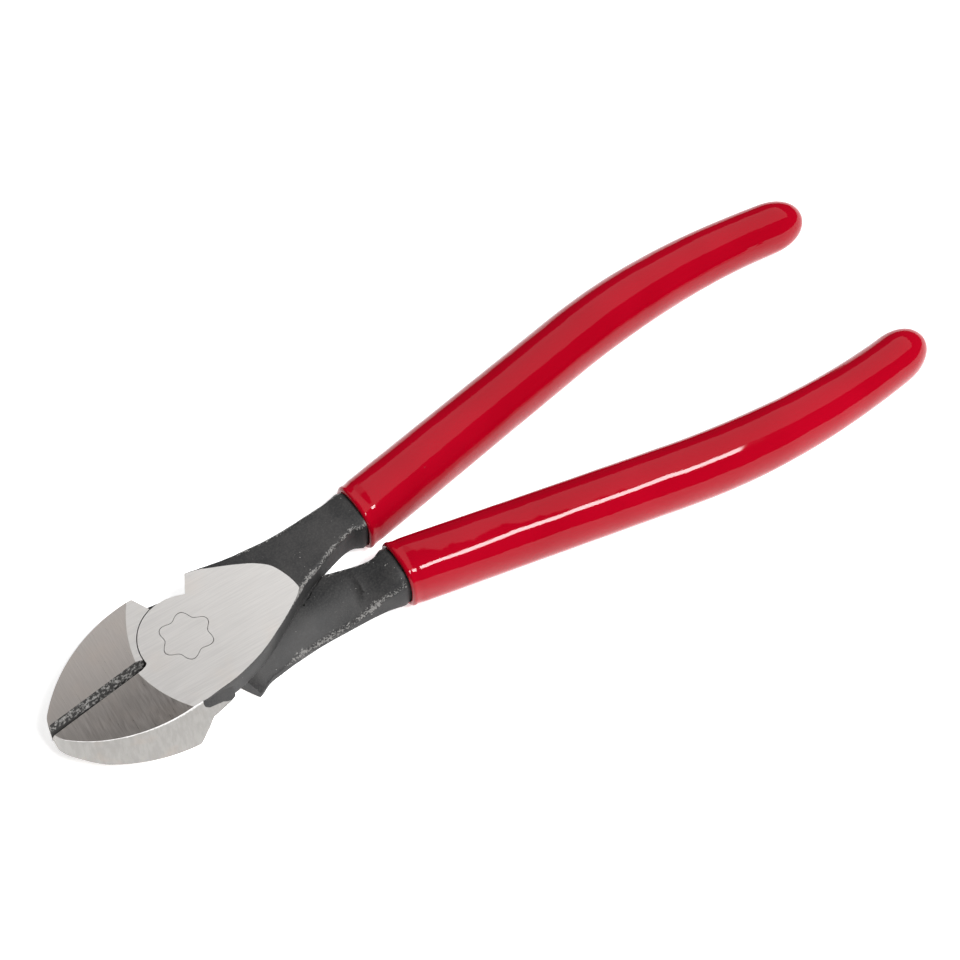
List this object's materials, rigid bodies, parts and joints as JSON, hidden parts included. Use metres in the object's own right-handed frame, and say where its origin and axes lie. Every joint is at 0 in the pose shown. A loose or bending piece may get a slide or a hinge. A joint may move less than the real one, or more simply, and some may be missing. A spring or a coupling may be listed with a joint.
{
  "type": "diagonal cutting pliers",
  "caption": "Heavy-duty diagonal cutting pliers with a ground lap joint, a lobed flush rivet, dark forged shanks and dipped red grips.",
  "frame": {"origin": "centre of the rivet's rear head, in the plane of the ground rear face of the joint", "axes": "+X from the jaws' tip towards the grips' ends along the middle line of the closed handles, +Y towards the front half's handle, +Z along the rivet out of the front face"},
  "size_m": [0.2005, 0.059, 0.0138],
  "materials": {
    "forged_steel": "ground bright on the joint faces and jaws, dark forged scale with worn bright edges on the shanks",
    "rivet_steel": "ground flush with the joint face",
    "red_vinyl": "glossy dipped vinyl"
  },
  "bodies": {
    "front_handle": {"front_half": "forged_steel", "pivot_rivet": "rivet_steel", "front_grip": "red_vinyl"},
    "rear_handle": {"rear_half": "forged_steel", "rear_grip": "red_vinyl"}
  },
  "joints": [
    {"name": "pivot", "type": "hinge", "parent": "front_handle", "child": "rear_handle", "pos_m": [0, 0, 0.0058], "axis": [0, 0, -1], "range_deg": [0, 36.5]}
  ]
}
